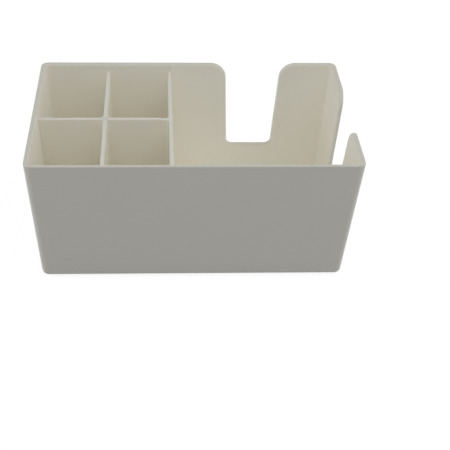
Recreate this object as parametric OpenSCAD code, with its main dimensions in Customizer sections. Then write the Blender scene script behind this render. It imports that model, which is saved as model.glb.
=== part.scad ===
// Open bar caddy: a drafted tub with two finger notches, a bay partition that slides into
// channels, a cross divider that drops in beside it, and four feet.
// Millimetres. +X is right, +Y is the back, +Z is up. The origin is on the ground under
// the middle of the tub. Heights in the modules are measured from the tub's underside.

/* [Tub] */
// Width across the rim, left to right
tub_w = 240; // [200:1:300]
// Depth across the rim, front to back
tub_d = 146.5; // [120:0.5:180]
// Height from the underside to the rim
tub_h = 105.5; // [85:0.1:130]
// Lean of the walls from upright, in degrees
draft = 2.5; // [1:0.05:4]
// Thickness of the walls and the floor
wall = 3.5; // [2:0.1:4]
// Radius of the rounded edge round the underside
edge_r = 3; // [1:0.1:5]
// Radius of the rounded edge round the floor inside
floor_r = 1; // [0.5:0.1:2]
// Radius of the upright corners
corner_r = 5.5; // [5:0.1:12]

/* [Finger notches] */
// Height of a notch's floor above the underside
notch_z = 29.8; // [20:0.1:60]
// Width of a notch at its floor
notch_w = 37.7; // [25:0.1:50]
// Lean of the notch sides from upright, in degrees
notch_lean = 2.75; // [0:0.05:6]
// Radius of the corners at a notch's floor
notch_floor_r = 5; // [2:0.5:10]
// Radius of the corners where a notch meets the rim
notch_rim_r = 13; // [5:0.5:18]
// Distance from the right rim to the middle of the back notch
notch_from_side = 67.8; // [50:0.1:90]

/* [Partition] */
// Clear width of the napkin bay at the rim
bay_w = 131.3; // [110:0.1:150]
// Thickness of the partition
partition_t = 2.8; // [2:0.1:4]
// Depth of the guide channels in the front and back walls
channel_depth = 0.8; // [0.5:0.1:1.2]

/* [Cross divider] */
// Distance from the rim down to the tops of the divider and the partition
panel_drop = 6.5; // [0:0.1:20]
// Radius of the two edges along the top of a panel
panel_r = 0.9; // [0.3:0.1:1]
// Thickness of the divider's arms
divider_t = 2.9; // [2:0.1:4]
// Distance of the side-to-side arm in front of the middle
arm_forward = 1; // [0:0.1:10]
// Diameter of the post where the arms cross
post_d = 6.8; // [5:0.1:12]
// Height that the post stands above the arms
post_rise = 0.3; // [0:0.1:2]
// Length of the lowered end that stands against the partition
end_l = 6.5; // [5:0.1:10]
// Depth of the lowered end below the top of its arm
end_dip = 0.7; // [0.3:0.1:2]
// Radius of the coves on both sides of that end
cove_r = 1.8; // [1:0.1:4]
// Thickness of the flared end at its tips
flare_tip = 0.6; // [0.6:0.1:1.5]

/* [Feet] */
// Diameter of a foot
foot_d = 12; // [8:0.5:16]
// Thickness of a foot
foot_t = 2; // [1.5:0.1:4]
// Depth of the recess that a foot is stuck into
foot_seat = 0.8; // [0.3:0.1:1.2]
// Radius of a foot's lower edge
foot_r = 0.6; // [0.2:0.1:1]
// Distance from the tub's lower edges to the middle of a foot
foot_inset = 20; // [14:0.5:30]

/* [Fits] */
// Clearance round the pieces that lift out
slide_gap = 0.3; // [0.2:0.05:0.6]
// Clearance round a foot in its recess
foot_gap = 0.2; // [0.1:0.05:0.4]

/* [Hidden] */

$fn = 64;
// Sides of the pucks that the tub's rounded corners are drawn over
puck_fn = 32;
// Overrun of a cutter past the face it opens
overrun = 1;

ivory = [0.80, 0.79, 0.73];
rubber = [0.30, 0.30, 0.30];

lean = tan(draft);
stand = foot_t - foot_seat;
floor_z = wall;
panel_top = tub_h - panel_drop;
partition_face = tub_w / 2 - wall - bay_w;
partition_x = partition_face - partition_t / 2;
notch_x = tub_w / 2 - notch_from_side;

// Half the distance between two opposite outer faces, and between the inner ones, at height z
function outer_half(size, z) = size / 2 - lean * (tub_h - z);
function inner_half(size, z) = outer_half(size, z) - wall;
// Half the length of the flat part of the floor, inside its rounded edge
function floor_half(size) = inner_half(size, floor_z + floor_r) - floor_r;

// The fore-and-aft arm halves the space beside the partition, at half the height of the panels
panel_middle = (floor_z + panel_top) / 2;
divider_x = (partition_face - partition_t - inner_half(tub_w, panel_middle)) / 2;
arm_end = partition_face - partition_t - slide_gap;

foot_x = outer_half(tub_w, 0) - foot_inset;
foot_y = outer_half(tub_d, 0) - foot_inset;

// Drawing planes: a profile is drawn flat, then stood up facing the front or the side
module facing_front(depth) {
    rotate([90, 0, 0])
        linear_extrude(height = depth, center = true)
            children();
}

module facing_side(depth) {
    rotate([90, 0, 90])
        linear_extrude(height = depth, center = true)
            children();
}

// Round puck with a rounded edge of radius r, whose points lie where the walls touch it
module puck(radius, r) {
    rotate_extrude($fn = puck_fn)
        intersection() {
            translate([radius - r, 0])
                circle(r, $fn = puck_fn);
            translate([0, -r])
                square([radius, 2 * r]);
        }
}

// Drafted block, set in from the outer faces, with lower edges of radius r. It runs on above
// the rim. Its corners share their middles with the outer ones, so the wall between two blocks
// is even.
module drafted_block(inset, r) {
    low = inset + r;
    hull()
        for (z = [low, tub_h + low], sx = [-1, 1], sy = [-1, 1])
            translate([sx * (outer_half(tub_w, z) - corner_r), sy * (outer_half(tub_d, z) - corner_r), z])
                puck(corner_r - inset, r);
}

// Finger notch: straight leaning sides, round inner corners at its floor and round outer
// corners at the rim. Each arc is a whole circle that touches its two lines.
module notch_outline() {
    across = [cos(notch_lean), -sin(notch_lean)];
    floor_arc_v = notch_z + notch_floor_r;
    floor_arc_u = notch_w / 2 + tan(notch_lean) * notch_floor_r - notch_floor_r / cos(notch_lean);
    floor_arc = [floor_arc_u, floor_arc_v];
    rim_arc_v = tub_h - notch_rim_r;
    rim_arc_u = notch_w / 2 + tan(notch_lean) * (rim_arc_v - notch_z) + notch_rim_r / cos(notch_lean);
    rim_arc = [rim_arc_u, rim_arc_v];
    right = [
        [floor_arc_u, notch_z],
        floor_arc + notch_floor_r * across,
        rim_arc - notch_rim_r * across,
        rim_arc,
        [rim_arc_u, tub_h + overrun]
    ];
    left = [for (i = [len(right) - 1:-1:0]) [-right[i].x, right[i].y]];
    difference() {
        union() {
            polygon(concat(right, left));
            for (side = [-1, 1])
                translate([side * floor_arc_u, floor_arc_v])
                    circle(notch_floor_r);
        }
        for (side = [-1, 1])
            translate([side * rim_arc_u, rim_arc_v])
                circle(notch_rim_r);
    }
}

// Outline of a partition that spans the tub from front to back, reaching past the inner faces
module spanning_outline(reach) {
    low = inner_half(tub_d, floor_z) + reach;
    high = inner_half(tub_d, panel_top) + reach;
    polygon([[-low, floor_z], [low, floor_z], [high, panel_top], [-high, panel_top]]);
}

// Outline of the two channels: they follow the walls beside the partition and run straight up
// above it
module channel_outline() {
    low = inner_half(tub_d, floor_z) + channel_depth;
    high = inner_half(tub_d, panel_top) + channel_depth;
    top = tub_h + overrun;
    polygon([
        [-low, floor_z], [low, floor_z], [high, panel_top],
        [high, top], [-high, top], [-high, panel_top]
    ]);
}

// Cross-section of an upright panel with two rounded top edges
module panel_section(t) {
    flat = t / 2 - panel_r;
    shoulder = panel_top - panel_r;
    polygon([
        [-t / 2, floor_z], [t / 2, floor_z], [t / 2, shoulder],
        [flat, panel_top], [-flat, panel_top], [-t / 2, shoulder]
    ]);
    for (side = [-1, 1])
        translate([side * flat, shoulder])
            circle(panel_r);
}

// Outline of the fore-and-aft arm: its ends follow the walls, its lower corners clear the
// rounded edge of the floor
module long_arm_outline() {
    right = [
        [floor_half(tub_d) - slide_gap, floor_z],
        [inner_half(tub_d, floor_z + floor_r) - slide_gap, floor_z + floor_r],
        [inner_half(tub_d, panel_top) - slide_gap, panel_top]
    ];
    left = [for (i = [len(right) - 1:-1:0]) [-right[i].x, right[i].y]];
    polygon(concat(right, left));
}

// Outline of the side-to-side arm, from the left wall to its lowered end at the partition
module short_arm_outline() {
    end_top = panel_top - end_dip;
    polygon([
        [arm_end, floor_z],
        [arm_end, end_top],
        [arm_end - end_l + end_dip, end_top],
        [arm_end - end_l, panel_top],
        [slide_gap - inner_half(tub_w, panel_top), panel_top],
        [slide_gap - inner_half(tub_w, floor_z + floor_r), floor_z + floor_r],
        [slide_gap - floor_half(tub_w), floor_z]
    ]);
}

// Flared end that keeps the side-to-side arm square to the partition, with a cove on both sides
// that runs into the arm
module flared_end() {
    half = divider_t / 2 + cove_r;
    reach = cove_r + flare_tip;
    translate([arm_end - reach, 0, floor_z])
        linear_extrude(height = panel_top - end_dip - floor_z)
            difference() {
                translate([0, -half])
                    square([reach, 2 * half]);
                for (side = [-1, 1])
                    translate([0, side * half])
                        circle(cove_r);
            }
}

module caddy_tub() {
    color(ivory)
        translate([0, 0, stand])
            difference() {
                drafted_block(0, edge_r);
                drafted_block(wall, floor_r);
                translate([-tub_w, -tub_d, tub_h])
                    cube([2 * tub_w, 2 * tub_d, 4 * edge_r]);
                translate([notch_x, tub_d / 2, 0])
                    facing_front(tub_d)
                        notch_outline();
                translate([tub_w / 2, 0, 0])
                    facing_side(tub_w)
                        notch_outline();
                translate([partition_x, 0, 0])
                    facing_side(partition_t + 2 * slide_gap)
                        channel_outline();
                for (sx = [-1, 1], sy = [-1, 1])
                    translate([sx * foot_x, sy * foot_y, -overrun])
                        cylinder(d = foot_d + 2 * foot_gap, h = foot_seat + overrun);
            }
}

module bay_partition() {
    color(ivory)
        translate([partition_x, 0, stand])
            intersection() {
                facing_side(partition_t)
                    spanning_outline(channel_depth - slide_gap);
                facing_front(tub_d)
                    panel_section(partition_t);
            }
}

module cross_divider() {
    color(ivory)
        translate([0, 0, stand]) {
            translate([divider_x, 0, 0])
                intersection() {
                    facing_side(divider_t)
                        long_arm_outline();
                    facing_front(tub_d)
                        panel_section(divider_t);
                }
            translate([0, -arm_forward, 0]) {
                intersection() {
                    facing_front(divider_t)
                        short_arm_outline();
                    facing_side(tub_w)
                        panel_section(divider_t);
                }
                flared_end();
                translate([divider_x, 0, floor_z])
                    cylinder(d = post_d, h = panel_top + post_rise - floor_z);
            }
        }
}

// Round pad with a rounded lower edge
module foot(sx, sy) {
    rim = foot_d / 2;
    color(rubber)
        translate([sx * foot_x, sy * foot_y, 0])
            rotate_extrude() {
                polygon([[0, 0], [rim - foot_r, 0], [rim, foot_r], [rim, foot_t], [0, foot_t]]);
                translate([rim - foot_r, foot_r])
                    circle(foot_r);
            }
}

module foot_front_left() {
    foot(-1, -1);
}

module foot_front_right() {
    foot(1, -1);
}

module foot_back_left() {
    foot(-1, 1);
}

module foot_back_right() {
    foot(1, 1);
}

caddy_tub();
bay_partition();
cross_divider();
foot_front_left();
foot_front_right();
foot_back_left();
foot_back_right();
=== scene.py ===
# %% [markdown]
# # An ivory bar caddy
# The object is an open organiser, moulded in ivory plastic: a tub whose walls lean outward, two
# finger notches, a partition that slides into two channels, a cross-shaped divider that drops in
# beside it, and four rubber feet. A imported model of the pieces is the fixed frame: it says how big
# each one is and where it sits. This lesson gives those pieces the soft edges and the finish of a
# real moulding, and lights them as in a small photo studio.

# %% Load the fixed frame
import math
from collections import namedtuple

import bmesh
import bpy
from mathutils import Matrix, Vector


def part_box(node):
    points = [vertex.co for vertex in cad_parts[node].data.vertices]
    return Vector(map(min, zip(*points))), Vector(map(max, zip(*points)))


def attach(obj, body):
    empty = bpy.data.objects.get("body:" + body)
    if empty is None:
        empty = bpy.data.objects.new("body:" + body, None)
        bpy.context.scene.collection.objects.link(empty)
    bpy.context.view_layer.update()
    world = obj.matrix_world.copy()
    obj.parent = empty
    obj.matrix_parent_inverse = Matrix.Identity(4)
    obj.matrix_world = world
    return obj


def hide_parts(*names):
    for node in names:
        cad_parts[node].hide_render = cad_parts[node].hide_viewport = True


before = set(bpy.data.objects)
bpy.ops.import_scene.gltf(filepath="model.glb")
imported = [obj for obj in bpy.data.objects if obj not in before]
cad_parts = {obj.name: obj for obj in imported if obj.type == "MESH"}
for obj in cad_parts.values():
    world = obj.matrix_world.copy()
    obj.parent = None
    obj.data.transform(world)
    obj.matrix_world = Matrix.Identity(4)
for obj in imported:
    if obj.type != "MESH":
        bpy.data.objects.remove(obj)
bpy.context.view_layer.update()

MM = 0.001
scene = bpy.context.scene
print("Nodes:", ", ".join(sorted(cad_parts)))

# %% [markdown]
# ## The camera
# The photograph was taken from the front and a little to the left, looking down at about 40
# degrees. A lens, a place and three angles could be tuned by eye. Here they were solved from the
# straight edges of the tub, so the render lines up with the photograph. The optical centre isn't
# the middle of the frame, because the picture was cropped: the camera's shift takes that up.

# %% Camera
PHOTO_PX = 450
FOCAL_PX = 896.67
OPTIC_PX = Vector((189.109, 240.271))
EYE = Vector((-27.374, -580.332, 468.596)) * MM
LOOK_DOWN = math.radians(40.176)
LOOK_RIGHT = math.radians(2.7109)
ROLL = math.radians(1.449)

ahead = Vector((
    math.sin(LOOK_RIGHT) * math.cos(LOOK_DOWN),
    math.cos(LOOK_RIGHT) * math.cos(LOOK_DOWN),
    -math.sin(LOOK_DOWN),
))
level = Vector((math.cos(LOOK_RIGHT), -math.sin(LOOK_RIGHT), 0))
upright = level.cross(ahead)
right = level * math.cos(ROLL) + upright * math.sin(ROLL)
up = upright * math.cos(ROLL) - level * math.sin(ROLL)

lens = bpy.data.cameras.new("studio_camera")
lens.sensor_width = 36
lens.lens = FOCAL_PX / PHOTO_PX * lens.sensor_width
lens.shift_x = (PHOTO_PX / 2 - OPTIC_PX.x) / PHOTO_PX
lens.shift_y = (OPTIC_PX.y - PHOTO_PX / 2) / PHOTO_PX
camera = bpy.data.objects.new("studio_camera", lens)
camera.matrix_world = Matrix.Translation(EYE) @ Matrix((right, up, -ahead)).transposed().to_4x4()
scene.collection.objects.link(camera)
scene.camera = camera
print(f"Camera: {lens.lens:.1f} mm lens, shift {lens.shift_x:.3f}, {lens.shift_y:.3f}")

# %% [markdown]
# ## Shader maths as plain expressions
# A finish is a tree of nodes. Wiring each Math node by hand hides the idea, so one small class
# wraps a socket: adding, subtracting or multiplying two wires adds the Math node for it. Any other
# node comes from one method, which sets the node's settings first and then its sockets.

# %% A wire between shader nodes
class Wire:
    """A socket of a shader tree that can be used in arithmetic."""

    def __init__(self, tree, socket=None):
        self.tree = tree
        self.socket = socket

    def node(self, kind, settings=None, sockets=None, output=0):
        """Add a node of this kind and return the wire that leaves it."""
        made = self.tree.nodes.new(kind)
        for name, value in (settings or {}).items():
            setattr(made, name, value)
        for name, value in (sockets or {}).items():
            if isinstance(value, Wire):
                self.tree.links.new(value.socket, made.inputs[name])
            else:
                made.inputs[name].default_value = value
        return Wire(self.tree, made.outputs[output] if made.outputs else None)

    def math(self, operation, first, second):
        return self.node("ShaderNodeMath", {"operation": operation}, {0: first, 1: second})

    def __add__(self, other):
        return self.math("ADD", self, other)

    def __radd__(self, other):
        return self.math("ADD", other, self)

    def __sub__(self, other):
        return self.math("SUBTRACT", self, other)

    def __rsub__(self, other):
        return self.math("SUBTRACT", other, self)

    def __mul__(self, other):
        return self.math("MULTIPLY", self, other)

    def __rmul__(self, other):
        return self.math("MULTIPLY", other, self)


print("Wires can be added, subtracted and multiplied")

# %% [markdown]
# ## Words for a finish
# Every finish starts from an empty tree, varies over the surface by noise, and mixes colours. These
# three steps get a short name each, so that a finish reads like a recipe. Noise takes its place from
# the object itself, so the finish stays put when a piece is lifted out.

# %% Blank finish, noise and blend
def blank_finish(name):
    """A new material with an empty tree, and a wire to draw from."""
    finish = bpy.data.materials.new(name)
    finish.use_nodes = True
    finish.node_tree.nodes.clear()
    return finish, Wire(finish.node_tree)


def noise(draw, place, scale, detail):
    """Soft noise from 0 to 1, with about `scale` bumps to the metre."""
    return draw.node("ShaderNodeTexNoise", None, {"Vector": place, "Scale": scale, "Detail": detail})


def blend(draw, share, first, second):
    """A colour between two colours."""
    sockets = {0: share, 6: first, 7: second}
    return draw.node("ShaderNodeMix", {"data_type": "RGBA"}, sockets, output=2)


print("Blank finishes, noise and blends are ready")

# %% [markdown]
# ## Ivory plastic
# The caddy is moulded in a creamy white plastic with a fine spark-eroded grain. Light that bounces
# between its walls turns warmer with each bounce, which is why the compartments look more yellow
# than the front. That needs no painted shade: it follows from the colour. Over it lie broad clouds
# from uneven cooling and small specks, with a shallow ripple and a fine grain as bump. The tops of
# the rims are painted greyer and made duller: partly rubbed by hands, and partly painted shade that
# dims the tops which face up. The post gets a little less of this grey, the tops of the panels half
# as much, and the upright sides of the notches none. It is marked on the mesh itself, by a value
# that is stored with its points.

# %% Ivory plastic finish
DEEP_CREAM = (0.914, 0.891, 0.817, 1)
PALE_CREAM = (0.954, 0.931, 0.859, 1)
SPECK_TAN = (0.80, 0.77, 0.68, 1)
WORN_AND_SHADED_GREY = (0.690, 0.667, 0.586, 1)


def ivory_plastic():
    finish, draw = blank_finish("moulded_ivory")
    place = draw.node("ShaderNodeTexCoord", output="Object")
    top_wear_and_shade = draw.node("ShaderNodeAttribute", {"attribute_name": "top_wear_and_shade"}, output="Fac")
    clouds = noise(draw, place, 18, 2)
    specks = noise(draw, place, 520, 3)
    grain = noise(draw, place, 2400, 2)
    ripple = noise(draw, place, 110, 1)

    cream = blend(draw, clouds, DEEP_CREAM, PALE_CREAM)
    specked = blend(draw, specks * 0.18, cream, SPECK_TAN)
    # Painted shade with rubbing: this grey dims the up-facing tops of the rims, panels and post.
    patchy_wear_and_shade = top_wear_and_shade * (0.75 + specks * 0.5)
    colour = blend(draw, patchy_wear_and_shade, specked, WORN_AND_SHADED_GREY)
    roughness = 0.40 + (clouds - 0.5) * 0.10 + (specks - 0.5) * 0.12 + top_wear_and_shade * 0.06

    waved = draw.node("ShaderNodeBump", None, {"Strength": 0.16, "Distance": 0.2 * MM, "Height": ripple})
    relief = {"Strength": 0.12, "Distance": 0.06 * MM, "Height": grain, "Normal": waved}
    normal = draw.node("ShaderNodeBump", None, relief)
    surface = {"Base Color": colour, "Roughness": roughness, "Normal": normal, "IOR": 1.5}
    shader = draw.node("ShaderNodeBsdfPrincipled", None, surface)
    draw.node("ShaderNodeOutputMaterial", None, {"Surface": shader})
    return finish


IVORY = ivory_plastic()
print("Finish:", IVORY.name, len(IVORY.node_tree.nodes), "nodes")

# %% [markdown]
# ## Foot rubber
# The feet are small dark grey pads. Rubber is dull and a little dusty, so its roughness is high and
# uneven, and a pale bloom lies over it in patches. The pores are too small to model and are bump.

# %% Foot rubber finish
RUBBER_GREY = (0.075, 0.075, 0.078, 1)
BLOOM_GREY = (0.17, 0.17, 0.165, 1)


def foot_rubber():
    finish, draw = blank_finish("grey_rubber")
    place = draw.node("ShaderNodeTexCoord", output="Object")
    bloom = noise(draw, place, 260, 4)
    pores = noise(draw, place, 3200, 2)
    colour = blend(draw, bloom * 0.7, RUBBER_GREY, BLOOM_GREY)
    normal = draw.node("ShaderNodeBump", None, {"Strength": 0.25, "Distance": 0.08 * MM, "Height": pores})
    surface = {"Base Color": colour, "Roughness": 0.72 + bloom * 0.2, "Normal": normal}
    shader = draw.node("ShaderNodeBsdfPrincipled", None, surface)
    draw.node("ShaderNodeOutputMaterial", None, {"Surface": shader})
    return finish


RUBBER = foot_rubber()
print("Finish:", RUBBER.name, len(RUBBER.node_tree.nodes), "nodes")

# %% [markdown]
# ## A shell of points and faces
# Every moulded piece here is rows of points joined by strips of faces, with large flat panels
# between the strips. They could be extruded and bevelled by hand. Here a shell collects them, so the
# sizes stay exact. A point that comes up twice is shared, and neighbouring strips join without a
# seam.

# %% The shell helper
PLACE_DIGITS = 7


class Shell:
    """The points and faces of one moulded piece in the making."""

    def __init__(self):
        self.index = {}
        self.top_wear_and_shade = []
        self.faces = []

    def point(self, place, top_wear_and_shade=0.0):
        key = tuple(round(c, PLACE_DIGITS) for c in place)
        if key not in self.index:
            self.index[key] = len(self.index)
            self.top_wear_and_shade.append(top_wear_and_shade)
        return self.index[key]

    def face(self, corners):
        loop = [corner for i, corner in enumerate(corners) if corner != corners[i - 1]]
        if len(loop) > 2:
            self.faces.append(loop)

    def strip(self, one_row, next_row):
        for corners in zip(one_row, one_row[1:], next_row[1:], next_row):
            self.face(corners)


print(f"Points that agree to {PLACE_DIGITS} digits of a metre are one")

# %% [markdown]
# ## From shell to piece
# An edge that is still open at the end outlines a flat face with holes, which is filled. Edges that
# turn sharply stay crisp, and weighted normals keep the flat panels flat beside their rounded edges.
# A real moulding is closed and has a volume, so both are checked and printed.

# %% Closing a shell
CRISP = math.radians(35)
CM3 = (10 * MM) ** 3


def close_form(form):
    """Fill the open flats, turn every face outward and mark the crisp edges."""
    open_edges = [edge for edge in form.edges if edge.is_boundary]
    bmesh.ops.triangle_fill(form, use_beauty=True, edges=open_edges)
    bmesh.ops.recalc_face_normals(form, faces=form.faces)
    for face in form.faces:
        face.smooth = True
    for edge in form.edges:
        edge.smooth = edge.calc_face_angle(math.pi) < CRISP


def mould(shell, name, finish):
    """The finished piece of a shell."""
    mesh = bpy.data.meshes.new(name)
    mesh.from_pydata(list(shell.index), [], shell.faces)
    # The stored value marks the grey of rubbing and painted shade on the tops that face up.
    marks = mesh.attributes.new("top_wear_and_shade", "FLOAT", "POINT")
    marks.data.foreach_set("value", shell.top_wear_and_shade)
    form = bmesh.new()
    form.from_mesh(mesh)
    close_form(form)
    state = "closed" if all(edge.is_manifold for edge in form.edges) else "open"
    volume = form.calc_volume()
    form.to_mesh(mesh)
    form.free()
    mesh.materials.append(finish)
    piece = bpy.data.objects.new(name, mesh)
    scene.collection.objects.link(piece)
    weighted = piece.modifiers.new("flat_panels", "WEIGHTED_NORMAL")
    weighted.keep_sharp = True
    print(f"{name}: {len(mesh.polygons)} faces, {state}, {volume / CM3:.1f} cm3")
    return piece


print(f"Shells keep edges crisp from {math.degrees(CRISP):.0f} degrees on")

# %% [markdown]
# ## The tub's sizes
# The frame gives the rim, the underside and the feet. The rest are the moulding's own sizes: the
# draft that lets it leave the mould, an even wall, and the radii of the upright corners, the edge
# round the underside and the edge round the floor. The rim is rounded more on its inner side than
# on its outer side. Each level section of the tub is a rectangle with round corners that shrinks
# towards the floor.

# %% Tub sizes
tub_low, tub_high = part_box("caddy_tub")
UNDER_Z = tub_low.z
RIM_Z = tub_high.z
HALF_W = tub_high.x
HALF_D = tub_high.y
LEAN = math.tan(math.radians(2.5))
WALL = 3.5 * MM
CORNER_R = 5.5 * MM
EDGE_R = 3 * MM
FLOOR_R = 1 * MM
RIM_OUTER_R = 0.8 * MM
RIM_INNER_R = 1.9 * MM
FLOOR_Z = UNDER_Z + WALL
ROUND_TOP = FLOOR_Z + FLOOR_R


def outer_half(half, z):
    """Half the distance between two opposite outer faces at height z."""
    return half - LEAN * (RIM_Z - z)


print(f"Rim {2 * HALF_W / MM:.1f} x {2 * HALF_D / MM:.1f} mm, {(RIM_Z - UNDER_Z) / MM:.1f} mm deep")

# %% [markdown]
# ## Walking round the rim
# The top edge of the tub is one closed path. It runs along the walls, round the corners, down and
# up through the two notches and over the two channels. A boolean could cut these out of a box, but
# it leaves knife edges. Here the path is walked spot by spot, and at each spot the same rounded
# lip is laid across the wall, so the notches get the soft lip that the mould gives them. Each wall
# knows which way it faces, which way the walk runs along it, and how far out and how long it is.

# %% Spots along the rim
UPWARD = Vector((0, 0, 1))
CORNER_STEPS = 8
TubWall = namedtuple("TubWall", "outward along distance reach")
WALLS = {
    "front": TubWall(Vector((0, -1, 0)), Vector((1, 0, 0)), HALF_D, HALF_W),
    "right": TubWall(Vector((1, 0, 0)), Vector((0, 1, 0)), HALF_W, HALF_D),
    "back": TubWall(Vector((0, 1, 0)), Vector((-1, 0, 0)), HALF_D, HALF_W),
    "left": TubWall(Vector((-1, 0, 0)), Vector((0, -1, 0)), HALF_W, HALF_D),
}


class RimSpot:
    """A spot on the top edge: on a wall, or turned part of the way round the corner after it."""

    def __init__(self, side, u=0.0, z=RIM_Z, facing=math.pi / 2, turn=None, thick=WALL, channel=False):
        self.wall = WALLS[side]
        self.u = u
        self.z = z
        self.facing = facing
        self.turn = turn
        self.thick = thick
        self.channel = channel

    def at(self, z, depth, u_step=0.0):
        """The point at height z, this deep behind the outer face."""
        outward, along, distance, reach = self.wall
        if self.turn is None:
            return outward * (outer_half(distance, z) - depth) + along * (self.u + u_step) + UPWARD * z
        radial = outward * math.cos(self.turn) + along * math.sin(self.turn)
        centre = outward * (outer_half(distance, z) - CORNER_R) + along * (outer_half(reach, z) - CORNER_R)
        return centre + radial * (CORNER_R - depth) + UPWARD * z

    def lip(self, lift, depth):
        """A point on the rounded lip, moved away from the edge by `lift`."""
        return self.at(self.z + lift * math.sin(self.facing), depth, lift * math.cos(self.facing))


def quarter(steps):
    """Angles of a quarter turn, from 0 to 90 degrees."""
    return [math.pi / 2 * step / steps for step in range(steps + 1)]


def corner_spots(side):
    return [RimSpot(side, turn=turn) for turn in quarter(CORNER_STEPS)]


print("Each corner of the rim is walked in", len(corner_spots("front")), "spots")

# %% [markdown]
# ## Finger notches
# A notch lets fingers reach the last napkin. Its outline is four arcs that touch straight lines:
# two outer ones at the rim and two inner ones at the notch's floor. Walking the arcs in order, the
# direction that the edge faces turns from up to sideways and back, and the straight sides need no
# points of their own.

# %% Notch outline
NOTCH_Z = UNDER_Z + 29.8 * MM
NOTCH_W = 37.7 * MM
NOTCH_LEAN = math.radians(2.75)
NOTCH_FLOOR_R = 5 * MM
NOTCH_FLOOR_STEPS = 8
NOTCH_RIM_R = 13 * MM
NOTCH_RIM_STEPS = 12
BACK_NOTCH_X = HALF_W - 67.8 * MM


def notch_spots(side, middle):
    """The spots of a notch, from its first rim corner to its last."""
    slope = math.tan(NOTCH_LEAN)
    low_v = NOTCH_Z + NOTCH_FLOOR_R
    low_u = NOTCH_W / 2 + slope * NOTCH_FLOOR_R - NOTCH_FLOOR_R / math.cos(NOTCH_LEAN)
    high_v = RIM_Z - NOTCH_RIM_R
    high_u = NOTCH_W / 2 + slope * (high_v - NOTCH_Z) + NOTCH_RIM_R / math.cos(NOTCH_LEAN)
    first_half = [(-high_u, high_v, NOTCH_RIM_R, turn) for turn in reversed(quarter(NOTCH_RIM_STEPS))]
    first_half += [(-low_u, low_v, -NOTCH_FLOOR_R, turn) for turn in quarter(NOTCH_FLOOR_STEPS)]
    spots = []
    for u, v, radius, turn in first_half:
        facing = NOTCH_LEAN + turn * (1 - 2 * NOTCH_LEAN / math.pi)
        spots.append((u + radius * math.cos(facing), v + radius * math.sin(facing), facing))
    spots += [(-u, v, math.pi - facing) for u, v, facing in reversed(spots)]
    return [RimSpot(side, middle + u, v, facing) for u, v, facing in spots]


print(f"Notches: {NOTCH_W / MM:.1f} mm wide, {(RIM_Z - NOTCH_Z) / MM:.1f} mm deep")

# %% [markdown]
# ## Guide channels
# The partition's ends slide in two shallow channels, one in the front wall and one in the back.
# They run from the floor to the rim, so above the partition an upright line shows on the back wall.
# In the walk a channel is a short stretch of thinner wall. Beside the napkin bay its edge is a small
# quarter round that catches the light, and beside the compartments it is a soft ramp that hardly
# shows.

# %% Channel spots
partition_low, partition_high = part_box("bay_partition")
PARTITION_X = (partition_low.x + partition_high.x) / 2
PARTITION_HALF = (partition_high.x - partition_low.x) / 2
SNUG = 0.05 * MM
CHANNEL_DEPTH = 0.5 * MM + SNUG
CHANNEL_EDGE_R = 0.5 * MM
CHANNEL_EDGE_STEPS = 4
RAMP = 0.9 * MM


def channel_spots(side):
    thin = WALL - CHANNEL_DEPTH
    ramp_start = -PARTITION_HALF - 3 * SNUG
    edge = PARTITION_HALF + SNUG
    shape = [(ramp_start, WALL), (ramp_start + RAMP, thin), (edge - SNUG / 2, thin)]
    for a in quarter(CHANNEL_EDGE_STEPS):
        shape.append((edge + CHANNEL_EDGE_R * (1 - math.cos(a)), WALL - CHANNEL_EDGE_R * (1 - math.sin(a))))
    heading = WALLS[side].along.x
    spots = [RimSpot(side, (PARTITION_X + x) * heading, thick=thick, channel=True) for x, thick in shape]
    return spots if heading > 0 else spots[::-1]


print(f"Channels: {CHANNEL_DEPTH / MM:.2f} mm deep, around x = {PARTITION_X / MM:.1f} mm")

# %% [markdown]
# ## The whole walk
# Seen from above, the walk goes anticlockwise and starts at the front channel. Each wall adds its
# channel and its notch in the order in which they are met, and then the corner that follows it.

# %% Rim path
rim = channel_spots("front") + corner_spots("front")
rim += notch_spots("right", 0.0) + corner_spots("right")
rim += notch_spots("back", -BACK_NOTCH_X) + channel_spots("back") + corner_spots("back")
rim += corner_spots("left")
print("The rim has", len(rim), "spots")

# %% [markdown]
# ## The lip
# Across the wall the lip is two quarter rounds with a narrow flat between them. The grey of the
# tops, rubbing mixed with painted shade, grows from nothing at the upright faces to its full value
# on the top. It also fades with the direction that the edge faces, so it is almost gone where the
# edge faces sideways, as in the notches.

# %% Lip rows
LIP_STEPS = 6


def lip_profile(thick):
    """Lift, depth and grey of rubbing and painted shade across the rounded lip, outer to inner face."""
    outer = [(RIM_OUTER_R * (math.sin(a) - 1), RIM_OUTER_R * (1 - math.cos(a)), math.sin(a))
             for a in quarter(LIP_STEPS)]
    inner = [(RIM_INNER_R * (math.sin(a) - 1), thick - RIM_INNER_R * (1 - math.cos(a)), math.sin(a))
             for a in reversed(quarter(LIP_STEPS))]
    return outer + inner


def lip_row(shell, spot):
    # Painted shade with rubbing: the lip greys as far as it faces up.
    facing_up = math.sin(spot.facing)
    return [shell.point(spot.lip(lift, depth), wear * facing_up)
            for lift, depth, wear in lip_profile(spot.thick)]


print("Each spot lays", len(lip_profile(WALL)), "points across the wall")

# %% [markdown]
# ## Walls below the lip
# Below the lip a flat panel fills each stretch of wall, outside and inside, and a quarter round turns
# it into the underside or the floor. Only corners and channels need upright rows of points: a panel
# between two of them is one large face, whatever notch it has at its top. The channels have square
# lower ends, so they run straight down to the floor.

# %% Panels and floor rounds
ROUND_STEPS = 6


def outer_levels(spot):
    """Height and depth of the round at the underside, which is the same at every spot."""
    return [(UNDER_Z + EDGE_R * (1 - math.sin(a)), EDGE_R * (1 - math.cos(a)))
            for a in quarter(ROUND_STEPS)]


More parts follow.
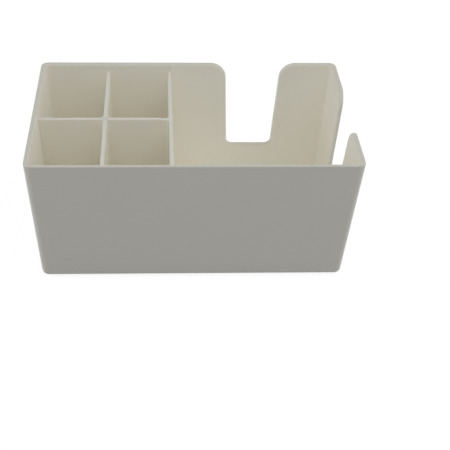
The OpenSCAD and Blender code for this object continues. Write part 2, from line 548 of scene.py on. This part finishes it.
def inner_levels(spot):
    """Height and depth of the round at the floor, or of the straight end of a channel."""
    rounds = [(ROUND_TOP - FLOOR_R * math.sin(a), FLOOR_R * (1 - math.cos(a)))
              for a in quarter(ROUND_STEPS)]
    if spot.thick < WALL:
        return [(z, spot.thick) for z, inset in rounds]
    return [(z, WALL + inset) for z, inset in rounds]


def hang_walls(shell, lips, picked, end, levels):
    """Panels and rounds below one end of the lip. Returns the loop where they meet the flat."""
    columns = {}
    for i in picked:
        columns[i] = [shell.point(rim[i].at(z, depth)) for z, depth in levels(rim[i])]
    for i, j in zip(picked, picked[1:] + picked[:1]):
        steps = (j - i) % len(rim)
        top = [lips[(i + step) % len(rim)][end] for step in range(steps + 1)]
        shell.face(top + [columns[j][0], columns[i][0]])
        shell.strip(columns[i], columns[j])
    return [columns[i][-1] for i in picked]


print(f"Rounds: {EDGE_R / MM:.0f} mm at the underside, {FLOOR_R / MM:.0f} mm at the floor")

# %% [markdown]
# ## Foot recesses
# Each foot is stuck into a shallow round recess of the underside, which keeps it from being pushed
# off sideways. A recess is a ring of wall and a flat roof. It is a little wider than its foot.

# %% Recess helper
RECESS_STEPS = 48
FOOT_GAP = 0.2 * MM
FEET = [name for name in sorted(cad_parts) if name.startswith("foot_")]


def foot_recess(shell, name):
    """A round recess in the underside, as deep as the foot reaches into it."""
    low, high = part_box(name)
    middle = (low + high) / 2
    radius = (high.x - low.x) / 2 + FOOT_GAP
    turns = [2 * math.pi * step / RECESS_STEPS for step in range(RECESS_STEPS)]
    ring = [middle + Vector((math.cos(turn), math.sin(turn), 0)) * radius for turn in turns]
    mouth = [shell.point((spot.x, spot.y, UNDER_Z)) for spot in ring]
    roof = [shell.point((spot.x, spot.y, high.z)) for spot in ring]
    shell.strip(mouth + mouth[:1], roof + roof[:1])
    shell.face(roof)


print("Recesses for", ", ".join(FEET))

# %% [markdown]
# ## The tub
# The lip is laid first, then the outer walls, the inner walls with the floor, and the recesses. The
# last open edges are the outline of the underside and the mouths of the recesses, and the flat
# between them is filled when the shell is closed.

# %% Tub mesh
def make_tub():
    shell = Shell()
    lips = [lip_row(shell, spot) for spot in rim]
    for one, following in zip(lips, lips[1:] + lips[:1]):
        shell.strip(one, following)
    corners = [i for i, spot in enumerate(rim) if spot.turn is not None]
    uprights = [i for i, spot in enumerate(rim) if spot.turn is not None or spot.channel]
    hang_walls(shell, lips, corners, 0, outer_levels)
    shell.face(hang_walls(shell, lips, uprights, -1, inner_levels))
    for name in FEET:
        foot_recess(shell, name)
    return mould(shell, "ivory_tub", IVORY)


tub = make_tub()
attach(tub, "tub")
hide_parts("caddy_tub")

# %% [markdown]
# ## Upright panels
# The partition and the divider are upright panels with a rounded top. Both are made from an outline
# in plan: every spot of it rises from the floor, and near the top it curves inward by the radius of
# the edge. An end that meets a wall of the tub leans with it and stays flat to the top. Elsewhere a
# corner moves inward along the line that halves it, so both of its sides move by the same amount.

# %% Panel helper
PANEL_TOP = partition_high.z
PANEL_R = 0.9 * MM
# Share of the tops' grey, rubbing and painted shade, that the panel tops get.
PANEL_WEAR_AND_SHADE = 0.5
PanelSpot = namedtuple("PanelSpot", "place inward top ease slide wear", defaults=[PANEL_WEAR_AND_SHADE])
STILL = Vector((0, 0))


def inward_steps(places):
    """For each corner of an outline, the step that moves both of its sides inward by one."""
    steps = []
    for before, here, after in zip(places[-1:] + places[:-1], places, places[1:] + places[:1]):
        first = (here - before).normalized().orthogonal()
        second = (after - here).normalized().orthogonal()
        steps.append((first + second) / (1 + first.dot(second)))
    return steps


def panel_rows(shell, spots, clear):
    """Rows from the floor to the top, as a wall of faces. Leaning ends stay `clear` of the floor's
    round. Returns the loop of the top."""
    rows = []
    for spot, halving in zip(spots, inward_steps([spot.place for spot in spots])):
        inward = halving if spot.inward is None else spot.inward
        climb = [(FLOOR_Z, 0, clear, 0), (ROUND_TOP, 0, 0, 0)]
        for a in quarter(LIP_STEPS):
            drop, inset = spot.ease * (1 - math.sin(a)), spot.ease * (1 - math.cos(a))
            # Painted shade with rubbing: the rounded top greys as it turns to face up.
            climb.append((spot.top - drop, inset, 0, spot.wear * math.sin(a)))
        row = []
        for z, inset, back, wear in climb:
            plan = spot.place + inward * inset + spot.slide * (LEAN * (z - PANEL_TOP) - back)
            row.append(shell.point((plan.x, plan.y, z), wear))
        rows.append(row)
    for one, following in zip(rows, rows[1:] + rows[:1]):
        shell.strip(one, following)
    shell.face([row[0] for row in rows])
    return [row[-1] for row in rows]


print(f"Panel tops are {(RIM_Z - PANEL_TOP) / MM:.1f} mm below the rim")

# %% [markdown]
# ## Partition
# A plain panel that walls off the napkin bay. It can be lifted straight up out of its channels. On
# the side of the compartments its upright end edges are chamfered, to match the channels' ramps.

# %% Partition mesh
CHAMFER = 0.6 * MM


def partition_end(outward, reach):
    """The three spots of one end, in the order of the outline."""
    leftward = Vector((-1, 0))
    shape = [(-PARTITION_HALF, reach, leftward), (PARTITION_HALF - RAMP, reach, STILL),
             (PARTITION_HALF, reach - CHAMFER, -leftward)]
    spots = []
    for left, out, inward in shape:
        place = Vector((PARTITION_X, 0)) + leftward * left + outward * out
        spots.append(PanelSpot(place, inward, PANEL_TOP, PANEL_R, outward))
    return spots


def make_partition():
    shell = Shell()
    back = partition_end(Vector((0, 1)), partition_high.y)
    front = partition_end(Vector((0, -1)), -partition_low.y)
    shell.face(panel_rows(shell, back + front[::-1], 0))
    return mould(shell, "ivory_partition", IVORY)


partition = make_partition()
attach(partition, "partition")
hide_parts("bay_partition")

# %% [markdown]
# ## Cross divider
# Two panels that cross at a round post make four compartments. Three of the arms end at walls of
# the tub. The fourth ends at the partition: its end is a little lower than the rest, and coves on
# both sides flare it out to keep it square. The post stands a little above the arms. One outline
# goes round the whole cross, so arms, post and flares are a single moulding.

# %% Divider sizes
divider_low, divider_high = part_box("cross_divider")
ARM_HALF = 2.9 / 2 * MM
ARM_FORWARD = 1 * MM
POST_R = 6.8 / 2 * MM
POST_TOP = divider_high.z
POST_EASE = 0.45 * MM
# Share of the tops' grey, rubbing and painted shade, that the post's top gets.
POST_WEAR_AND_SHADE = 0.85
inner_left = WALL - outer_half(HALF_W, (FLOOR_Z + PANEL_TOP) / 2)
CROSS = Vector(((partition_low.x + inner_left) / 2, -ARM_FORWARD))
print(f"The arms cross at x = {CROSS.x / MM:.2f} mm")
print(f"The post is {(POST_TOP - PANEL_TOP) / MM:.1f} mm proud")

# %% [markdown]
# ## Arms of the divider
# An arm is given by the spots of its two sides, each listed from the post outward. A plain arm needs
# two spots a side, and its end leans with the wall. The flared arm steps down near its end, and an
# arc of spots makes each cove. All arms start just outside the post.

# %% Arms
NECK = math.sqrt(POST_R ** 2 - ARM_HALF ** 2) + 3 * SNUG
SLIDE_GAP = 0.3 * MM
REACH_ON = SLIDE_GAP - SNUG
END_L = 6.5 * MM
END_DIP = 0.7 * MM
COVE_R = 1.8 * MM
FLARE_TIP = 0.6 * MM
FLARE_EASE = 0.25 * MM


def plain_arm(outward, reach):
    """Both sides of an arm that ends flat against a wall."""
    across = outward.orthogonal()
    sides = []
    for side in (-1, 1):
        edge = CROSS + across * side * ARM_HALF
        near = PanelSpot(edge + outward * NECK, -across * side, PANEL_TOP, PANEL_R, STILL)
        far = PanelSpot(edge + outward * (reach + REACH_ON), -across * side, PANEL_TOP, PANEL_R, outward)
        sides.append([near, far])
    return sides


def flared_arm(outward, reach):
    """Both sides of the arm with the lowered, flared end."""
    across = outward.orthogonal()
    end = reach + REACH_ON
    cove = end - FLARE_TIP - COVE_R
    shape = [(NECK, 0, 0, PANEL_R), (end - END_L, 0, 0, PANEL_R),
             (end - END_L + END_DIP, 0, END_DIP, FLARE_EASE)]
    for a in quarter(ROUND_STEPS):
        shape.append((cove + COVE_R * math.sin(a), COVE_R * (1 - math.cos(a)), END_DIP, FLARE_EASE))
    shape.append((end, COVE_R, END_DIP, FLARE_EASE))
    sides = []
    for side in (-1, 1):
        spots = []
        for u, flare, dip, ease in shape:
            place = CROSS + outward * u + across * side * (ARM_HALF + flare)
            inward = None if flare else -across * side
            spots.append(PanelSpot(place, inward, PANEL_TOP - dip, ease, STILL))
        sides.append(spots)
    return sides


print(f"Arms are {2 * ARM_HALF / MM:.1f} mm thick, the flare {2 * (ARM_HALF + COVE_R) / MM:.1f} mm")

# %% [markdown]
# ## Post of the divider
# Between two arms the outline follows the post for a little less than a quarter turn. The post is
# round and slightly taller than the arms, with a smaller edge round. It is gripped when the divider
# is lifted out, and its top gets more of the grey of rubbing and painted shade than the arms do.

# %% Post arcs
def post_arc(outward):
    """The part of the post between an arm and the next one."""
    meet = math.asin(ARM_HALF / POST_R)
    across = outward.orthogonal()
    spots = []
    for a in quarter(ROUND_STEPS):
        turn = meet + a * (1 - 4 * meet / math.pi)
        radial = outward * math.cos(turn) + across * math.sin(turn)
        spots.append(PanelSpot(CROSS + radial * POST_R, -radial, POST_TOP, POST_EASE, STILL, POST_WEAR_AND_SHADE))
    return spots


ARC_SPOTS = ROUND_STEPS + 1
print("The post has", 4 * ARC_SPOTS, "spots")

# %% [markdown]
# ## The divider
# The outline goes round the cross: out along one side of an arm, back along the other, and over the
# post to the next arm. Its walls rise as for any panel. The top is closed in parts, because the post
# is higher: a strip of faces along each arm, a small riser where the arm meets the post, and one
# disc on the post.

# %% Divider mesh
def close_cross_top(shell, top, side_lengths):
    """Faces on the tops of the arms and the post, from the loop of the top."""
    disc = []
    risers = []
    for count in side_lengths:
        one_row, other_row = top[:count], top[count:2 * count][::-1]
        shell.strip(one_row, other_row)
        risers.append((len(disc), one_row[0], other_row[0]))
        disc += top[2 * count:2 * count + ARC_SPOTS]
        top = top[2 * count + ARC_SPOTS:]
    for first, one_near, other_near in risers:
        shell.face([disc[first - 1], one_near, other_near, disc[first]])
    shell.face(disc)


def make_divider():
    shell = Shell()
    rightward = Vector((1, 0))
    backward = Vector((0, 1))
    arms = [
        (rightward, flared_arm(rightward, divider_high.x - CROSS.x)),
        (backward, plain_arm(backward, divider_high.y - CROSS.y)),
        (-rightward, plain_arm(-rightward, CROSS.x - divider_low.x)),
        (-backward, plain_arm(-backward, CROSS.y - divider_low.y)),
    ]
    spots = []
    for outward, (one_side, other_side) in arms:
        spots += one_side + other_side[::-1] + post_arc(outward)
    top = panel_rows(shell, spots, FLOOR_R)
    close_cross_top(shell, top, [len(one_side) for outward, (one_side, other_side) in arms])
    return mould(shell, "ivory_divider", IVORY)


divider = make_divider()
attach(divider, "divider")
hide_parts("cross_divider")

# %% [markdown]
# ## Feet
# The feet of the frame already have their true shape, a pad with a rounded lower edge, so they stay
# as they are and only get the rubber.

# %% Feet
for name in FEET:
    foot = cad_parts[name]
    foot.data.materials.clear()
    foot.data.materials.append(RUBBER)
print("Feet:", len(FEET))

# %% [markdown]
# ## Floor
# The photograph has a pure white ground. A white that comes from brighter lamps would wash out the
# ivory, so the floor is white only to the rays that the camera sees, that a shiny surface mirrors or
# that pass through something clear. To all other rays it is a dull grey sheet. A part of the white
# that shows is light that the sheet reflects, so the caddy's shadow stays on it.

# %% Floor
WHITE = (1, 1, 1, 1)
PAPER_GREY = (0.25, 0.25, 0.25, 1)
PALE_PAPER_GREY = (0.27, 0.27, 0.27, 1)
FLOOR_GLOW = 0.86
FLOOR_HALF = 3.0


def rays_that_show(draw):
    kinds = ("Is Camera Ray", "Is Glossy Ray", "Is Transmission Ray")
    camera_ray, glossy_ray, clear_ray = [draw.node("ShaderNodeLightPath", output=kind) for kind in kinds]
    return camera_ray + glossy_ray + clear_ray


def pale_floor():
    finish, draw = blank_finish("pale_floor")
    place = draw.node("ShaderNodeTexCoord", output="Object")
    paper = blend(draw, noise(draw, place, 9, 2), PAPER_GREY, PALE_PAPER_GREY)
    dull = {"Base Color": paper, "Roughness": 1.0, "Specular IOR Level": 0.0}
    sheet = draw.node("ShaderNodeBsdfPrincipled", None, dull)
    white = draw.node("ShaderNodeEmission", None, {"Color": WHITE, "Strength": FLOOR_GLOW})
    lit = draw.node("ShaderNodeAddShader", None, {0: white, 1: sheet})
    ground = draw.node("ShaderNodeMixShader", None, {0: rays_that_show(draw), 1: sheet, 2: lit})
    draw.node("ShaderNodeOutputMaterial", None, {"Surface": ground})
    return finish


ground = bpy.data.meshes.new("floor")
square = [(-FLOOR_HALF, -FLOOR_HALF, 0), (FLOOR_HALF, -FLOOR_HALF, 0),
          (FLOOR_HALF, FLOOR_HALF, 0), (-FLOOR_HALF, FLOOR_HALF, 0)]
ground.from_pydata(square, [], [(0, 1, 2, 3)])
ground.materials.append(pale_floor())
floor = bpy.data.objects.new("floor", ground)
scene.collection.objects.link(floor)
print(f"Floor: {2 * FLOOR_HALF:.0f} m square")

# %% [markdown]
# ## World
# The background follows the same idea as the floor: the rays that show see plain white, and all
# others see a dim, even room. The room fills the shadows a little, as the walls of a studio do.

# %% World
ROOM_TINT = (0.98, 1, 1, 1)
ROOM_LEVEL = 0.33


def studio_world():
    world = bpy.data.worlds.new("studio")
    world.use_nodes = True
    world.node_tree.nodes.clear()
    draw = Wire(world.node_tree)
    room = draw.node("ShaderNodeBackground", None, {"Color": ROOM_TINT, "Strength": ROOM_LEVEL})
    white = draw.node("ShaderNodeBackground", None, {"Color": WHITE, "Strength": 1})
    sky = draw.node("ShaderNodeMixShader", None, {0: rays_that_show(draw), 1: room, 2: white})
    draw.node("ShaderNodeOutputWorld", None, {"Surface": sky})
    return world


scene.world = studio_world()
print("World:", scene.world.name, "at", ROOM_LEVEL)

# %% [markdown]
# ## Lamps
# The tops are brighter than the front, and the rounded corners at both ends of the front are brighter
# than its middle. So most of the light comes from above and from both sides, and little from where
# the camera stands: two large soft lamps at each side, a low one and a higher one, and one high in
# front. Each lamp was rendered alone first. A picture is the sum of its lamps, so their shares could
# then be solved from the brightness of many small patches of the photograph. Pale walls pass light
# on many times, so more bounces than usual are allowed.

# %% Lamps
def softbox(name, place, aim, width, height, brightness):
    """A large soft lamp. Its brightness is that of its surface, where 1 is white."""
    lamp = bpy.data.lights.new(name, "AREA")
    lamp.shape = "RECTANGLE"
    lamp.size = width
    lamp.size_y = height
    lamp.energy = brightness * math.pi * width * height
    holder = bpy.data.objects.new(name, lamp)
    holder.location = place
    holder.rotation_euler = (Vector(aim) - Vector(place)).to_track_quat("-Z", "Y").to_euler()
    holder.visible_camera = False
    scene.collection.objects.link(holder)
    return holder


MIDDLE = (0, 0, RIM_Z / 2)
lamps = [
    softbox("left_low_softbox", (-1.4, 0, 0.35), MIDDLE, 1.0, 0.6, 0.73),
    softbox("left_softbox", (-1.25, 0, 0.8), MIDDLE, 1.0, 0.8, 1.25),
    softbox("right_low_softbox", (1.4, 0, 0.35), MIDDLE, 1.0, 0.6, 1.00),
    softbox("right_high_softbox", (0.9, 0, 1.2), MIDDLE, 1.0, 0.8, 1.57),
    softbox("front_high_softbox", (0, -0.7, 1.3), MIDDLE, 1.2, 0.8, 0.86),
]
scene.cycles.diffuse_bounces = 16
scene.cycles.max_bounces = 20
scene.view_settings.view_transform = "Standard"
print("Lamps:", ", ".join(lamp.name for lamp in lamps))
